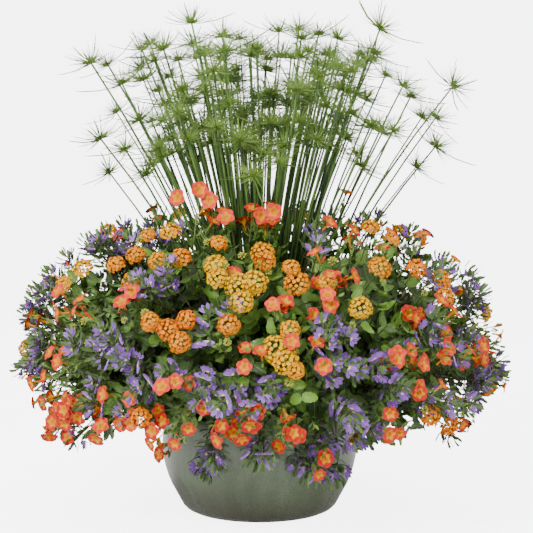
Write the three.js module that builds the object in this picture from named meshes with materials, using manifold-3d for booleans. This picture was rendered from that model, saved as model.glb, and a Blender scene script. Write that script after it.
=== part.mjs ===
// Mixed annual planter: a glazed bowl of potting mix with dwarf papyrus in the middle, and lantana,
// calibrachoa and scaevola in a ring round it. Millimetres, +Z up, the front of the planter towards -Y.
// The origin is the middle of the bowl's flat foot.
import * as THREE from 'three';
import { mergeVertices } from 'three/addons/utils/BufferGeometryUtils.js';
import Module from 'manifold-3d';

const wasm = await Module();
wasm.setup();

// ---- driving dimensions ----
const FOOT_RADIUS = 120;
const FOOT_THICKNESS = 12;
const BOWL_RADIUS = 177;
const BOWL_HEIGHT = 184;
const BOWL_SIDES = 32;
const DRAIN_HOLES = 3;
const DRAIN_RADIUS = 7;
const DRAIN_RING = 48;
const SOIL_LEVEL = 158;
const GAP = 0.3;
const SLIVER = 0.05;

const RING_RADIUS = 104;
const BALL_RADIUS = 43;
const PAPYRUS_BALL_RADIUS = 52;
const BALL_DEPTH = 82;
const BALL_TAPER = 0.76;
const BALL_SIDES = 14;
const BALL_TOP = SOIL_LEVEL + 1;

const PAPYRUS_DIVISIONS = 8;
const CULMS_PER_DIVISION = 6;
const CULM_RADIUS = 1.6;
const CROWN_RING = 27;
const CROWN_RADIUS = 8;
const UMBEL_RADIUS = 40;
const HUB_RADIUS = 3.4;

const STEM_SIDES = 4;
const STEM_LENGTHS = 7;
const LEAF_OPEN = 0.95;
const LEAF_THICKNESS = 3;
const GOLDEN_ANGLE = THREE.MathUtils.degToRad(137.5);
const UP = new THREE.Vector3(0, 0, 1);

// ---- finishes ----
const finish = (color, roughness) => new THREE.MeshStandardMaterial({ color, roughness, metalness: 0 });
const glaze = finish(0x5f6b54, 0.32);
const pottingMix = finish(0x3b2a1e, 0.95);
const rootMat = finish(0x6b5138, 0.95);
const papyrusGreen = finish(0x3f7a2f, 0.55);
const lantanaGreen = finish(0x3e6228, 0.6);
const lantanaGold = finish(0xf3a81c, 0.7);
const calibrachoaGreen = finish(0x6b9440, 0.6);
const calibrachoaCoral = finish(0xec6a55, 0.6);
const scaevolaGreen = finish(0x42682f, 0.55);

// ---- solids ----
function solid(geometry, matrix) {
  const bare = geometry.clone();
  bare.deleteAttribute('normal');
  bare.deleteAttribute('uv');
  if (matrix) bare.applyMatrix4(matrix);
  const merged = mergeVertices(bare, 1e-4);
  return new wasm.Manifold(new wasm.Mesh({
    numProp: 3,
    vertProperties: new Float32Array(merged.attributes.position.array),
    triVerts: new Uint32Array(merged.index.array),
  }));
}

const joined = (solids) => solids.reduce((all, one) => all.add(one)).simplify(SLIVER);

const group = new THREE.Group();

function addPiece(name, body, material) {
  const { vertProperties, triVerts } = body.getMesh();
  const geometry = new THREE.BufferGeometry();
  geometry.setAttribute('position', new THREE.BufferAttribute(new Float32Array(vertProperties), 3));
  geometry.setIndex(new THREE.BufferAttribute(new Uint32Array(triVerts), 1));
  geometry.computeVertexNormals();
  const piece = new THREE.Mesh(geometry, material);
  piece.name = name;
  group.add(piece);
}

const lathe = (points, sides) =>
  new THREE.LatheGeometry(points.map(([r, z]) => new THREE.Vector2(r, z)), sides).rotateX(Math.PI / 2);

// A point at an azimuth in degrees (0 at the front, 90 at +X), a radius and a height.
function place(azimuth, radius, height) {
  const turn = THREE.MathUtils.degToRad(azimuth);
  return new THREE.Vector3(radius * Math.sin(turn), -radius * Math.cos(turn), height);
}

// ---- the bowl, its drain holes and the potting mix ----
const innerWall = [
  [0, FOOT_THICKNESS], [126, 13], [138, 25], [150, 50], [160, 75], [165.5, 100], [167.5, 120],
  [165.5, 150], [162, 176],
];

function makeBowl() {
  const outside = [
    [0, 0], [FOOT_RADIUS, 0], [134, 5], [145, 20], [153, 35], [161, 50], [167, 65], [172, 82],
    [BOWL_RADIUS - 1.5, 98], [BOWL_RADIUS, 116], [BOWL_RADIUS - 1, 138], [BOWL_RADIUS - 4, 162],
  ];
  const rim = [[172.5, 177], [171, 182], [167, BOWL_HEIGHT], [163.5, 181.5]];
  const shell = solid(lathe([...outside, ...rim, ...innerWall.toReversed()], BOWL_SIDES));
  const bit = new THREE.CylinderGeometry(DRAIN_RADIUS, DRAIN_RADIUS, FOOT_THICKNESS * 2, 12);
  bit.rotateX(Math.PI / 2);
  const holes = Array.from({ length: DRAIN_HOLES }, (_, i) => {
    const spot = place(60 + i * 360 / DRAIN_HOLES, DRAIN_RING, FOOT_THICKNESS / 2);
    return solid(bit, new THREE.Matrix4().setPosition(spot));
  });
  return shell.subtract(joined(holes));
}

// A root ball keeps the taper of the pot that it was grown in; its pocket runs out through the mix.
function rootBall(radius, grow = 0) {
  const bottom = BALL_TOP - BALL_DEPTH - grow;
  const wide = radius + grow;
  const low = radius * BALL_TAPER + grow;
  const top = grow > 0 ? [[wide, BALL_TOP + 9]] : [[wide - 3, BALL_TOP]];
  const side = [[0, bottom], [low - 5, bottom], [low, bottom + 5], [wide, BALL_TOP - 3]];
  return lathe([...side, ...top, [0, top[0][1]]], BALL_SIDES);
}

// Ring plants, in order round the bowl.
const ringPlants = {
  lantana_1: -30, scaevola_1: 30, calibrachoa_1: 90, lantana_2: 150, scaevola_2: 210, calibrachoa_2: 270,
};

addPiece('bowl', makeBowl(), glaze);

const fill = innerWall.slice(0, 8).map(([r, z], i) => (i === 0 ? [0, z + GAP] : [r - GAP, z + GAP]));
fill.push([164.2, SOIL_LEVEL], [0, SOIL_LEVEL]);
let mix = solid(lathe(fill, BOWL_SIDES));
mix = mix.subtract(solid(rootBall(PAPYRUS_BALL_RADIUS, GAP)));
for (const azimuth of Object.values(ringPlants)) {
  const spot = new THREE.Matrix4().setPosition(place(azimuth, RING_RADIUS, 0));
  mix = mix.subtract(solid(rootBall(BALL_RADIUS, GAP), spot));
}
addPiece('potting_mix', mix, pottingMix);

addPiece('papyrus_root_ball', solid(rootBall(PAPYRUS_BALL_RADIUS)), rootMat);
for (const [plant, azimuth] of Object.entries(ringPlants)) {
  const spot = new THREE.Matrix4().setPosition(place(azimuth, RING_RADIUS, 0));
  addPiece(`${plant}_root_ball`, solid(rootBall(BALL_RADIUS), spot), rootMat);
}

// ---- dwarf papyrus ----
// A culm is a straight tapering rod from its crown to the hub of its umbel, a half globe of thin rays.
function rodBetween(from, to, radius, sides) {
  const run = new THREE.Vector3().subVectors(to, from);
  const rod = new THREE.CylinderGeometry(radius * 0.8, radius, run.length(), sides);
  const turn = new THREE.Quaternion().setFromUnitVectors(new THREE.Vector3(0, 1, 0), run.clone().normalize());
  const middle = new THREE.Vector3().addVectors(from, to).multiplyScalar(0.5);
  return solid(rod, new THREE.Matrix4().compose(middle, turn, new THREE.Vector3(1, 1, 1)));
}

// Each face of an eight-sided hub is drawn out to the tip of one ray: four up and out, four level.
function umbelShape() {
  const corners = new THREE.OctahedronGeometry(HUB_RADIUS).attributes.position;
  const points = [];
  for (let face = 0; face < corners.count; face += 3) {
    const [a, b, c] = [0, 1, 2].map((k) => new THREE.Vector3().fromBufferAttribute(corners, face + k));
    const out = a.clone().add(b).add(c).normalize();
    out.z = out.z > 0 ? 0.75 : 0.05;
    out.normalize().multiplyScalar(UMBEL_RADIUS);
    for (const [from, to] of [[a, b], [b, c], [c, a]]) points.push(from, to, out);
  }
  return new THREE.BufferGeometry().setFromPoints(points);
}
const umbelStar = umbelShape();

function umbel(hub, along, spin) {
  const lean = new THREE.Quaternion().setFromUnitVectors(UP, along);
  const turn = new THREE.Quaternion().setFromAxisAngle(along, spin).multiply(lean);
  return solid(umbelStar, new THREE.Matrix4().compose(hub, turn, new THREE.Vector3(1, 1, 1)));
}

// Each culm of a division leans out by its own share of the fan and has its own length.
function papyrusDivision(index) {
  const azimuth = (index + 0.5) * 360 / PAPYRUS_DIVISIONS;
  const foot = place(azimuth, CROWN_RING, BALL_TOP + GAP + CROWN_RADIUS * 0.6);
  const crownShape = new THREE.IcosahedronGeometry(CROWN_RADIUS, 0).scale(1, 1, 0.6);
  const pieces = [solid(crownShape, new THREE.Matrix4().setPosition(foot))];
  for (let i = 0; i < CULMS_PER_DIVISION; i += 1) {
    const share = Math.sqrt((i + 0.5) / CULMS_PER_DIVISION);
    const swing = ((i * 0.382) % 1 - 0.5) * 34 * (index % 2 === 0 ? 1 : -1);
    const lean = 6 + 22 * share;
    const length = 690 - 150 * ((i * 3 + index * 2) % 5) / 4 + 25 * (1 - share);
    const start = foot.clone().addScaledVector(place(azimuth + swing * 2, 1, 0), share * CROWN_RADIUS * 0.5);
    const rise = THREE.MathUtils.degToRad(lean);
    const run = place(azimuth + swing, Math.sin(rise), Math.cos(rise));
    const hub = start.clone().addScaledVector(run, length);
    pieces.push(rodBetween(start, hub, CULM_RADIUS, 3), umbel(hub, run, i + index * 0.7));
  }
  return joined(pieces);
}

for (let i = 0; i < PAPYRUS_DIVISIONS; i += 1) {
  addPiece(`papyrus_division_${i + 1}`, papyrusDivision(i), papyrusGreen);
}

// ---- shoots of the ring plants ----
const polygon = (count, radius) => new THREE.Shape(
  Array.from({ length: count }, (_, i) => {
    const turn = 2 * Math.PI * i / count;
    return new THREE.Vector2(radius * Math.cos(turn), radius * Math.sin(turn));
  }),
);

// A leaf along +Y, rooted a little behind the origin: pointed at both ends, widest at its belly,
// thickest on its midrib.
function leaf(length, width, belly, root) {
  const shape = new THREE.OctahedronGeometry(1).scale(width / 2, length / 2, LEAF_THICKNESS / 2);
  const corners = shape.attributes.position;
  for (let i = 0; i < corners.count; i += 1) {
    const y = corners.getY(i);
    if (Math.abs(y) < length / 4) corners.setY(i, (belly - 0.5) * length);
  }
  return shape.translate(0, length / 2 - root, 0);
}

const leafShapes = {
  lantana: leaf(50, 30, 0.4, 1.9),
  calibrachoa: leaf(26, 11, 0.5, 1.3),
  scaevola: leaf(46, 15, 0.55, 1.7),
};

// Five rounded petals in a half circle, the fan flower of a scaevola.
function fanFlower() {
  const outline = [new THREE.Vector2(0, -2)];
  for (let i = 0; i <= 10; i += 1) {
    const turn = Math.PI * (i / 10);
    const reach = i % 2 === 0 ? 11 : 17;
    outline.push(new THREE.Vector2(reach * Math.cos(turn), reach * Math.sin(turn)));
  }
  const sheet = new THREE.ExtrudeGeometry(new THREE.Shape(outline), { depth: 1.4, bevelEnabled: false });
  return sheet.translate(0, 0, -0.7);
}
const fan = fanFlower();

// The turned place of a leaf or flower midway along one straight length of its stem: y runs out along
// the leaf, z is its upper face.
function perch(path, length, roll, open) {
  const from = path.getPointAt(length / STEM_LENGTHS);
  const to = path.getPointAt((length + 1) / STEM_LENGTHS);
  const along = to.clone().sub(from).normalize();
  const side = new THREE.Vector3().crossVectors(along, UP).normalize();
  const over = new THREE.Vector3().crossVectors(side, along);
  const out = side.multiplyScalar(Math.cos(roll)).addScaledVector(over, Math.sin(roll));
  const y = along.clone().multiplyScalar(Math.cos(open)).addScaledVector(out, Math.sin(open));
  const z = along.clone().multiplyScalar(Math.sin(open)).addScaledVector(out, -Math.cos(open));
  const x = new THREE.Vector3().crossVectors(y, z);
  return new THREE.Matrix4().makeBasis(x, y, z).setPosition(from.lerp(to, 0.5));
}

// A stem rises from its root ball, leans over the rim and arches out to its tip.
function stemPath(plant, slot, tip, rise, shoulder) {
  const home = place(ringPlants[plant], RING_RADIUS, BALL_TOP + GAP);
  const start = home.clone().add(place(slot * 72 + ringPlants[plant], 17, 0));
  const collar = start.clone().add(new THREE.Vector3(0, 0, 12));
  const knee = start.clone().lerp(new THREE.Vector3(tip.x, tip.y, start.z), 0.16);
  knee.z += rise;
  const bend = knee.clone().lerp(tip, 0.56);
  bend.z += shoulder;
  return new THREE.CatmullRomCurve3([start, collar, knee, bend, tip]);
}

function stem(path, radius) {
  const section = polygon(STEM_SIDES, radius);
  return solid(new THREE.ExtrudeGeometry(section, {
    steps: STEM_LENGTHS, bevelEnabled: false, extrudePath: path,
  }));
}

// Two leaves on each of the outer lengths of a stem: opposite pairs, each a quarter turn on from the
// one before, or spread by the golden angle.
function leavesOn(path, kind, first, pairs) {
  const out = [];
  for (let length = first; length < STEM_LENGTHS; length += 1) {
    const roll = pairs ? length * Math.PI / 2 + 0.3 : length * GOLDEN_ANGLE;
    for (const one of [roll, roll + (pairs ? Math.PI : 2.2)]) {
      out.push(solid(leafShapes[kind], perch(path, length, one, LEAF_OPEN)));
    }
  }
  return out;
}

// What stands on the tip of a stem, a little clear of it, facing along it.
function crowning(path, shape, clear) {
  const along = path.getTangentAt(1);
  const turn = new THREE.Quaternion().setFromUnitVectors(UP, along);
  const at = path.getPointAt(1).addScaledVector(along, clear);
  return solid(shape, new THREE.Matrix4().compose(at, turn, new THREE.Vector3(1, 1, 1)));
}

const headShape = new THREE.IcosahedronGeometry(21, 1).scale(1, 1, 0.66).translate(0, 0, 14);

// A trumpet: a narrow tube that flares into a face of five lobes.
function trumpet() {
  const throat = new THREE.CylinderGeometry(8, 2, 15, 8).rotateX(Math.PI / 2).translate(0, 0, 7.5);
  const outline = Array.from({ length: 10 }, (_, i) => {
    const turn = Math.PI * i / 5;
    const reach = i % 2 === 0 ? 16 : 12.5;
    return new THREE.Vector2(reach * Math.cos(turn), reach * Math.sin(turn));
  });
  const face = new THREE.ExtrudeGeometry(new THREE.Shape(outline), { depth: 1.6, bevelEnabled: false });
  return [throat, face.translate(0, 0, 14)];
}
const trumpetShapes = trumpet();

// [plant, slot on its root ball, tip azimuth, tip radius, tip height, rise at the knee, shoulder]
const lantanaShoots = [
  ['lantana_1', 0, -4, 362, 425, 120, 60],
  ['lantana_1', 1, 4, 408, 318, 70, 60],
  ['lantana_1', 4, -38, 292, 480, 120, 60],
  ['lantana_1', 3, -64, 345, 432, 110, 60],
  ['lantana_2', 1, 178, 350, 420, 120, 60],
  ['lantana_2', 4, 96, 330, 420, 120, 60],
  ['lantana_2', 0, 140, 385, 330, 90, 60],
  ['lantana_2', 2, -146, 340, 440, 140, 60],
  ['lantana_1', 2, 26, 380, 396, 130, 40],
];

lantanaShoots.forEach(([plant, slot, azimuth, radius, height, rise, shoulder], i) => {
  const path = stemPath(plant, slot, place(azimuth, radius, height), rise, shoulder);
  const parts = [stem(path, 2.4), ...leavesOn(path, 'lantana', 4, true)];
  addPiece(`lantana_shoot_${i + 1}`, joined(parts), lantanaGreen);
  addPiece(`lantana_head_${i + 1}`, crowning(path, headShape, GAP), lantanaGold);
});

const calibrachoaShoots = [
  ['calibrachoa_2', 1, -43, 395, 350, 60, 50],
  ['calibrachoa_2', 2, -72, 395, 150, 30, 90],
  ['calibrachoa_2', 0, -30, 370, 140, 30, 90],
  ['calibrachoa_2', 4, -122, 410, 240, 50, 60],
  ['calibrachoa_1', 4, 52, 425, 270, 60, 60],
  ['calibrachoa_1', 0, 74, 400, 150, 30, 90],
  ['calibrachoa_1', 2, 118, 410, 220, 50, 60],
];

calibrachoaShoots.forEach(([plant, slot, azimuth, radius, height, rise, shoulder], i) => {
  const path = stemPath(plant, slot, place(azimuth, radius, height), rise, shoulder);
  const parts = [stem(path, 1.8), ...leavesOn(path, 'calibrachoa', 3, false)];
  addPiece(`calibrachoa_shoot_${i + 1}`, joined(parts), calibrachoaGreen);
  const bloom = joined(trumpetShapes.map((shape) => crowning(path, shape, GAP)));
  addPiece(`calibrachoa_bloom_${i + 1}`, bloom, calibrachoaCoral);
});

const scaevolaShoots = [
  ['scaevola_1', 4, -12, 345, 120, 30, 110],
  ['scaevola_1', 0, 15, 335, 105, 30, 110],
  ['scaevola_1', 1, 36, 425, 310, 60, 60],
  ['scaevola_1', 2, 82, 440, 425, 130, 40],
  ['scaevola_1', 3, 90, 462, 245, 50, 80],
  ['scaevola_2', 2, -88, 425, 375, 90, 60],
  ['scaevola_2', 0, -102, 440, 215, 40, 80],
  ['scaevola_2', 1, -96, 330, 480, 140, 50],
  ['scaevola_2', 3, 170, 440, 300, 70, 70],
  ['scaevola_2', 4, -150, 400, 150, 30, 100],
];

scaevolaShoots.forEach(([plant, slot, azimuth, radius, height, rise, shoulder], i) => {
  const path = stemPath(plant, slot, place(azimuth, radius, height), rise, shoulder);
  const parts = [stem(path, 2.2), ...leavesOn(path, 'scaevola', 4, false)];
  for (const length of [4, 6]) {
    parts.push(solid(fan, perch(path, length, length * GOLDEN_ANGLE + 1.1, LEAF_OPEN)));
  }
  addPiece(`scaevola_shoot_${i + 1}`, joined(parts), scaevolaGreen);
});

export default group;
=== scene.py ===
"""A mixed annual planter: dwarf papyrus, lantana, calibrachoa and scaevola in a glazed bowl."""
import math
import random

import bmesh
import bpy
import numpy as np
from mathutils import Matrix, Vector


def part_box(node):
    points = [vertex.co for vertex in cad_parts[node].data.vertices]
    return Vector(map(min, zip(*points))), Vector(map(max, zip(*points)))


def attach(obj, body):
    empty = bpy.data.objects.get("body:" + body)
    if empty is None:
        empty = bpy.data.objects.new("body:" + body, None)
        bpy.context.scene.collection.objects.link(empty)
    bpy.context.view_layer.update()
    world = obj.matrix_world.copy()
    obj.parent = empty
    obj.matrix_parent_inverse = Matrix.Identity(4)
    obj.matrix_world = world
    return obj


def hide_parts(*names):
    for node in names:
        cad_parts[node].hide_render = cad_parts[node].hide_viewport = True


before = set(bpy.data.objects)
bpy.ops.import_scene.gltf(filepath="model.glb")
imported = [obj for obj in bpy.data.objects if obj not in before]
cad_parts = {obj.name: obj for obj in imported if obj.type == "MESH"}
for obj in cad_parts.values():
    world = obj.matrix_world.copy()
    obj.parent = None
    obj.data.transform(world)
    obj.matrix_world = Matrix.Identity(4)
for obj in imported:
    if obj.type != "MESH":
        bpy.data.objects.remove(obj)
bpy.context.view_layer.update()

MM = 0.001
UP = Vector((0, 0, 1))
GOLDEN = math.radians(137.5)
rng = random.Random(14)


# ---------------------------------------------------------------- shaders
class Sock:
    """A shader value that adds, subtracts and multiplies as a number does."""

    def __init__(self, finish, socket):
        self.finish = finish
        self.socket = socket

    def math(self, operation, a, b):
        return self.finish.node("ShaderNodeMath", {"operation": operation}, [a, b])

    def __add__(self, other):
        return self.math("ADD", self, other)

    def __radd__(self, other):
        return self.math("ADD", other, self)

    def __sub__(self, other):
        return self.math("SUBTRACT", self, other)

    def __rsub__(self, other):
        return self.math("SUBTRACT", other, self)

    def __mul__(self, other):
        return self.math("MULTIPLY", self, other)

    def __rmul__(self, other):
        return self.math("MULTIPLY", other, self)

    def __pow__(self, other):
        return self.math("POWER", self, other)


class Finish:
    """One material, built from expressions on its node tree."""

    def __init__(self, name):
        self.material = bpy.data.materials.new(name)
        self.material.use_nodes = True
        self.tree = self.material.node_tree
        self.tree.nodes.clear()

    def node(self, kind, settings=None, inputs=None, output=0):
        node = self.tree.nodes.new(kind)
        for key, value in (settings or {}).items():
            if key == "stops":
                ramp = node.color_ramp
                while len(ramp.elements) < len(value):
                    ramp.elements.new(1.0)
                for element, (place, colour) in zip(ramp.elements, value):
                    element.position = place
                    element.color = (*colour, 1)
            else:
                setattr(node, key, value)
        pairs = inputs.items() if isinstance(inputs, dict) else enumerate(inputs or [])
        for key, value in pairs:
            if isinstance(value, Sock):
                self.tree.links.new(value.socket, node.inputs[key])
            else:
                node.inputs[key].default_value = value
        return Sock(self, node.outputs[output])

    def attribute(self, name):
        return self.node("ShaderNodeAttribute", {"attribute_name": name}, output=2)

    def marks(self):
        """The across and along values of a point on its leaf or petal."""
        split = self.node("ShaderNodeUVMap", {"uv_map": "marks"})
        across = self.node("ShaderNodeSeparateXYZ", None, [split], 0)
        along = self.node("ShaderNodeSeparateXYZ", None, [split], 1)
        return across, along

    def noise(self, scale, detail=3.0, stretch=(1, 1, 1)):
        spot = self.node("ShaderNodeTexCoord", output=3)
        spot = self.node("ShaderNodeMapping", None, {"Vector": spot, "Scale": stretch})
        return self.node("ShaderNodeTexNoise", None, {"Vector": spot, "Scale": scale, "Detail": detail})

    def ramp(self, value, stops):
        return self.node("ShaderNodeValToRGB", {"stops": stops}, [value])

    def curve(self, value, low, high, to_low=0.0, to_high=1.0):
        return self.node("ShaderNodeMapRange", {"interpolation_type": "SMOOTHSTEP"},
                         [value, low, high, to_low, to_high])

    def mix(self, share, a, b):
        return self.node("ShaderNodeMix", {"data_type": "RGBA"}, {0: share, 6: a, 7: b}, 2)

    def shade(self, colour, value):
        """A colour made lighter or darker by a value around 1."""
        return self.node("ShaderNodeVectorMath", {"operation": "SCALE"}, {0: colour, 3: value})

    def bump(self, height, strength, distance):
        inputs = {"Height": height, "Strength": strength, "Distance": distance}
        return self.node("ShaderNodeBump", None, inputs)

    def surface(self, colour, roughness, normal=None, glow=0.0, coat=0.0, specular=0.5):
        """The principled surface, with a share of light let through thin petals and leaves."""
        inputs = {"Base Color": colour, "Roughness": roughness, "Specular IOR Level": specular}
        if coat:
            inputs.update({"Coat Weight": coat, "Coat Roughness": 0.12})
        if normal:
            inputs["Normal"] = normal
        face = self.node("ShaderNodeBsdfPrincipled", None, inputs)
        if glow:
            through = self.node("ShaderNodeBsdfTranslucent", None, {"Color": colour})
            face = self.node("ShaderNodeMixShader", None, [glow, face, through])
        out = self.tree.nodes.new("ShaderNodeOutputMaterial")
        self.tree.links.new(face.socket, out.inputs["Surface"])
        return self.material


def leaf_finish(name, dark, light, rib, rough, veins, glow=0.15):
    """A leaf: tint from its attribute, a paler midrib, side veins and a mottled blade."""
    f = Finish(name)
    across, along = f.marks()
    side = f.node("ShaderNodeMath", {"operation": "ABSOLUTE"}, [across])
    midrib = f.curve(side, 0.0, 0.16, 1.0, 0.0)
    wave = f.node("ShaderNodeMath", {"operation": "SINE"}, [(along - side * 0.35) * veins])
    vein = f.curve(wave, 0.1, 1.0) * f.curve(side, 0.0, 0.3)
    mottle = f.noise(160.0)
    tone = f.attribute("tint") + (mottle - 0.5) * 0.35
    blade = f.mix(f.curve(tone, 0.0, 1.0), dark, light)
    blade = f.mix(midrib * 0.5 + vein * 0.3, blade, rib)
    normal = f.bump(vein * -1 - midrib, 0.7, 0.0010)
    return f.surface(blade, rough, normal, glow)


def stem_finish(name, low, high):
    f = Finish(name)
    patches = f.noise(24.0, stretch=(1, 1, 0.35))
    fibre = f.noise(420.0, stretch=(1, 1, 0.1))
    colour = f.mix(f.curve(patches, 0.35, 0.65), low, high)
    return f.surface(colour, 0.55, f.bump(fibre, 0.3, 0.0004))


def floret_finish():
    """Lantana florets: yellow to orange by head, a deeper orange eye that is partly the floret's own colour
    and partly painted shade where the tube opens, and so paler lobe edges.
    """
    f = Finish("lantana_petal")
    across, along = f.marks()
    reach = f.node("ShaderNodeVectorMath", {"operation": "LENGTH"}, [
        f.node("ShaderNodeCombineXYZ", None, [across, along, 0.0])], 1)
    head = f.ramp(f.attribute("tint"), [
        (0.0, (0.70, 0.39, 0.0)), (0.3, (0.70, 0.31, 0.0)), (0.65, (0.70, 0.22, 0.0)),
        (1.0, (0.66, 0.125, 0.0))])
    # The eye is partly the floret's own deeper orange and partly painted shade in the mouth of the tube.
    eye = f.curve(reach, 0.12, 0.34, 1.0, 0.0)
    colour = f.mix(eye * 0.75, head, (0.50, 0.12, 0.0, 1))
    grain = f.noise(900.0)
    colour = f.shade(colour, 0.86 + grain * 0.28)
    return f.surface(colour, 0.62, f.bump(grain, 0.25, 0.0003), 0.12, specular=0.2)


def trumpet_finish():
    """Calibrachoa petals: coral to dark red rim, yellow star from the throat, fine veins in relief."""
    f = Finish("calibrachoa_petal")
    across, along = f.marks()
    spot = f.node("ShaderNodeCombineXYZ", None, [across, along, 0.0])
    reach = f.node("ShaderNodeVectorMath", {"operation": "LENGTH"}, [spot], 1)
    turn = f.node("ShaderNodeMath", {"operation": "ARCTAN2"}, [along, across])
    lobes = f.node("ShaderNodeMath", {"operation": "COSINE"}, [turn * 5.0])
    fine = f.node("ShaderNodeMath", {"operation": "COSINE"}, [turn * 25.0])
    # The tint sets how deep red the rim is: random difference, plus painted shade for blooms low on the mound.
    redness_and_painted_shade = f.attribute("tint")
    rim = f.mix(redness_and_painted_shade, (0.64, 0.046, 0.022, 1), (0.42, 0.009, 0.002, 1))
    edge = reach + lobes * -0.10 + fine * 0.02 + (f.noise(260.0) - 0.5) * 0.16
    star = f.curve(edge, 0.42, 0.66, 1.0, 0.0)
    colour = f.mix(star, rim, (0.64, 0.26, 0.0, 1))
    throat = f.curve(reach + fine * 0.03, 0.10, 0.30, 1.0, 0.0)
    colour = f.mix(throat * 0.6, colour, (0.66, 0.16, 0.0, 1))
    paler = f.curve(reach, 0.90, 1.05) * 0.2
    colour = f.mix(paler, colour, (0.88, 0.28, 0.20, 1))
    grain = f.noise(700.0)
    colour = f.shade(colour, 0.85 + grain * 0.3)
    return f.surface(colour, 0.55, f.bump(fine + grain, 0.25, 0.0003), 0.15, specular=0.2)


def fan_finish():
    """Scaevola petals: violet, paler along the margins, a dark midline and a white-yellow root."""
    f = Finish("scaevola_petal")
    across, along = f.marks()
    side = f.node("ShaderNodeMath", {"operation": "ABSOLUTE"}, [across])
    body = f.mix(f.attribute("tint"), (0.16, 0.050, 0.32, 1), (0.40, 0.20, 0.61, 1))
    colour = f.mix(f.curve(side, 0.45, 1.0) * 0.55, body, (0.50, 0.32, 0.74, 1))
    colour = f.mix(f.curve(side, 0.0, 0.2, 1.0, 0.0) * 0.45, colour, (0.09, 0.02, 0.25, 1))
    colour = f.mix(f.curve(along, 0.06, 0.24, 1.0, 0.0), colour, (0.86, 0.72, 0.28, 1))
    grain = f.noise(800.0)
    colour = f.shade(colour, 0.86 + grain * 0.28)
    return f.surface(colour, 0.6, f.bump(grain, 0.2, 0.0003), 0.2, specular=0.25)


def glaze_finish():
    """Satin glaze: grey-green and olive streaks that ran down the belly, speckled, and browner and darker
    towards the base as painted shade.
    """
    f = Finish("bowl_glaze")
    spot = f.node("ShaderNodeTexCoord", output=3)
    x = f.node("ShaderNodeSeparateXYZ", None, [spot], 0)
    y = f.node("ShaderNodeSeparateXYZ", None, [spot], 1)
    height = f.node("ShaderNodeSeparateXYZ", None, [spot], 2)
    turn = f.node("ShaderNodeMath", {"operation": "ARCTAN2"}, [y, x])
    wrap = f.node("ShaderNodeMath", {"operation": "SINE"}, [turn])
    wrap_2 = f.node("ShaderNodeMath", {"operation": "COSINE"}, [turn])
    belt = f.node("ShaderNodeCombineXYZ", None, [wrap, wrap_2, height * 1.2])
    streak = f.node("ShaderNodeTexNoise", None, {"Vector": belt, "Scale": 9.0, "Detail": 4.0})
    fine = f.node("ShaderNodeTexNoise", None, {"Vector": belt, "Scale": 46.0, "Detail": 3.0})
    cloud = f.noise(9.0, 4.0)
    speck = f.noise(380.0, 2.0)
    tone = streak * 0.32 + fine * 0.10 + cloud * 0.62
    colour = f.ramp(f.curve(tone, 0.38, 0.72), [
        (0.0, (0.066, 0.080, 0.042)), (0.4, (0.086, 0.118, 0.059)), (0.7, (0.100, 0.138, 0.072)),
        (1.0, (0.128, 0.162, 0.092))])
    # Painted shade: the lower belly is mixed towards dark brown, most at the foot, for the shade under the
    # bowl's curve.
    low = f.curve(height, 0.0, 0.10, 1.0, 0.0)
    colour = f.mix(low * 0.75, colour, (0.046, 0.040, 0.024, 1))
    colour = f.shade(colour, 0.85 + f.curve(speck, 0.3, 0.7) * 0.28)
    rough = 0.18 + cloud * 0.14
    normal = f.bump(fine * 0.6 + cloud, 0.12, 0.0015)
    return f.surface(colour, rough, normal, coat=0.35)


def mix_finish(name, dark, light):
    f = Finish(name)
    crumbs = f.noise(220.0, 6.0)
    patches = f.noise(30.0)
    colour = f.mix(f.curve(crumbs + patches * 0.4, 0.4, 0.95), dark, light)
    return f.surface(colour, 0.95, f.bump(crumbs, 1.0, 0.002))


# ---------------------------------------------------------------- forms, each modelled once
class Form:
    """Points, faces and marks of one modelled leaf, petal or ray, ready to be copied."""

    def __init__(self, points, faces, marks):
        self.points = np.array(points, dtype=float)
        self.sizes = np.array([len(face) for face in faces])
        self.corners = np.array([corner for face in faces for corner in face])
        self.marks = np.array(marks, dtype=float)


def deselect():
    if bpy.context.object and bpy.context.object.mode != "OBJECT":
        bpy.ops.object.mode_set(mode="OBJECT")
    bpy.ops.object.select_all(action="DESELECT")


def pick(test):
    """Select the points of the mesh in edit mode that pass a test of their place."""
    mesh = bmesh.from_edit_mesh(bpy.context.object.data)
    for vert in mesh.verts:
        vert.select = bool(test(vert.co))
    mesh.select_flush_mode()
    bmesh.update_edit_mesh(bpy.context.object.data)


def take_form(mark):
    """Read the active object as a form, with marks worked out from each point, and remove it."""
    bpy.ops.object.mode_set(mode="OBJECT")
    thing = bpy.context.object
    bpy.ops.object.transform_apply(location=True, rotation=True, scale=True)
    points = [tuple(v.co) for v in thing.data.vertices]
    faces = [tuple(p.vertices) for p in thing.data.polygons]
    form = Form(points, faces, [mark(Vector(p)) for p in points])
    bpy.data.objects.remove(thing, do_unlink=True)
    return form


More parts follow.
